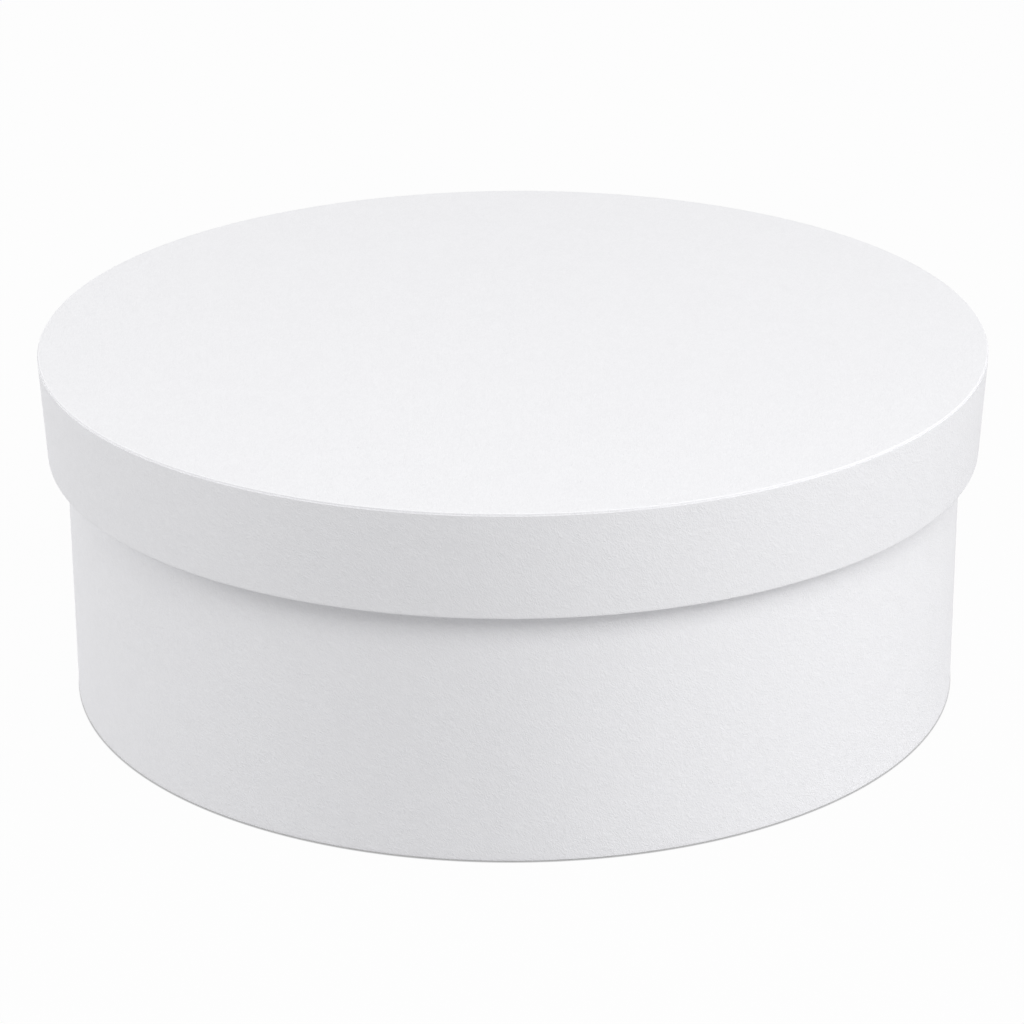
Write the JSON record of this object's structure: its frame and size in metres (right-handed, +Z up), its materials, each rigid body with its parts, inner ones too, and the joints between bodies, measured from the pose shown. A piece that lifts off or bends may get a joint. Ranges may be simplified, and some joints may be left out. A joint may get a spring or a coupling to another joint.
{
  "type": "round lidded box",
  "caption": "Low round covered-board box with a deep-rimmed lift-off lid, wrapped in fine embossed white paper and lined with plain white paper.",
  "frame": {"origin": "centre of the underside, on the surface that the box stands on", "axes": "+Z up along the box's axis, -Y towards the picture's viewer, paper seams at the back on the +Y side"},
  "size_m": [0.22, 0.22, 0.0835],
  "materials": {
    "embossed_paper": "matte, fine embossed grain",
    "lining_paper": "matte, smooth",
    "greyboard": "matte, fibrous",
    "gummed_tape": "satin"
  },
  "bodies": {
    "base": {"base_wall_board": "greyboard", "base_floor_board": "greyboard", "base_wall_joint_tape": "gummed_tape", "base_wall_wrap": "embossed_paper", "base_wall_lining": "lining_paper", "base_floor_lining": "lining_paper", "base_underside_paper": "lining_paper"},
    "lid": {"lid_rim_board": "greyboard", "lid_top_board": "greyboard", "lid_rim_joint_tape": "gummed_tape", "lid_top_paper": "embossed_paper", "lid_rim_wrap": "embossed_paper", "lid_top_lining": "lining_paper"}
  },
  "joints": [
    {"name": "lid_lift", "type": "slide", "parent": "base", "child": "lid", "axis": [0, 0, 1], "range_m": [0, 0.12]}
  ]
}
